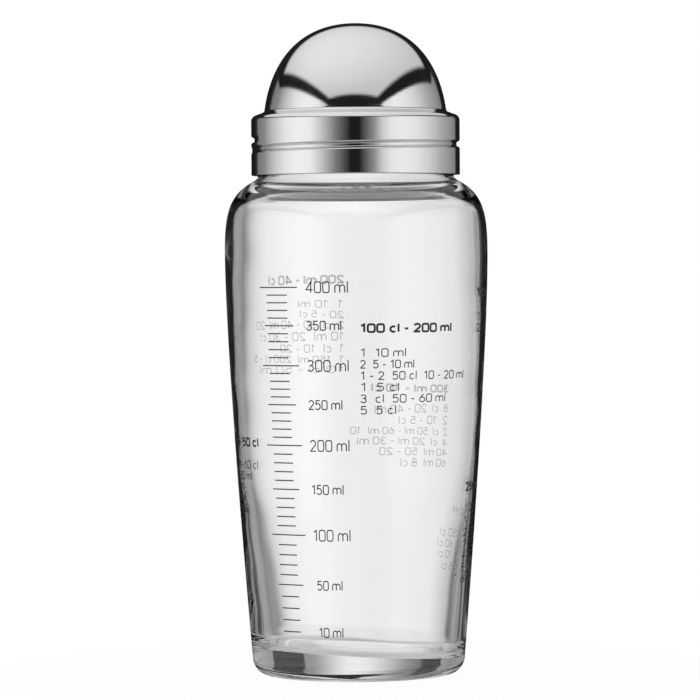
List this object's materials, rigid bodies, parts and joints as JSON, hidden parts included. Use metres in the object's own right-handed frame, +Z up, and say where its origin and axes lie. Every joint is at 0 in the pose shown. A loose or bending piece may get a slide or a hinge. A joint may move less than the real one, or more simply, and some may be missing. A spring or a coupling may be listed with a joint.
{
  "type": "salad dressing shaker bottle",
  "caption": "Straight-necked glass shaker bottle with a pouring insert, sealed by a domed steel screw cap with a rolled thread.",
  "frame": {"origin": "centre of the bearing ring under the bottle, on the surface that it stands on", "axes": "+Z up along the bottle's axis, -Y towards the front, between the printed scale and the printed block beside it"},
  "size_m": [0.0814, 0.0814, 0.2017],
  "materials": {
    "clear_glass": "clear, fire-polished",
    "insert_plastic": "moulded, slightly glossy",
    "strainer_steel": "perforated sheet, satin",
    "seal_silicone": "translucent white silicone",
    "gasket_silicone": "translucent white silicone",
    "liner_plastic": "moulded, fine matte",
    "polished_steel": "deep-drawn stainless steel, mirror polished"
  },
  "bodies": {
    "bottle": {"glass_bottle": "clear_glass"},
    "pourer": {"pouring_insert": "insert_plastic", "strainer_disc": "strainer_steel", "insert_seal_ring": "seal_silicone"},
    "gasket": {"cap_gasket": "gasket_silicone"},
    "liner": {"cap_liner": "liner_plastic"},
    "cap": {"cap_shell": "polished_steel"}
  },
  "joints": [
    {"name": "pourer_pull", "type": "slide", "parent": "bottle", "child": "pourer", "axis": [0, 0, 1], "range_m": [0, 0.04]},
    {"name": "cap_lift_off", "type": "slide", "parent": "pourer", "child": "gasket", "axis": [0, 0, 1], "range_m": [0, 0.07]},
    {"name": "cap_rise", "type": "slide", "parent": "gasket", "child": "liner", "axis": [0, 0, 1], "range_m": [0, 0.0035]},
    {"name": "cap_turn", "type": "hinge", "parent": "liner", "child": "cap", "pos_m": [0, 0, 0.165], "axis": [0, 0, 1], "range_deg": [0, 400]}
  ],
  "couplings": [
    {"joint": "cap_rise", "follows": "cap_turn", "m_per_rad": 0.00049338}
  ]
}
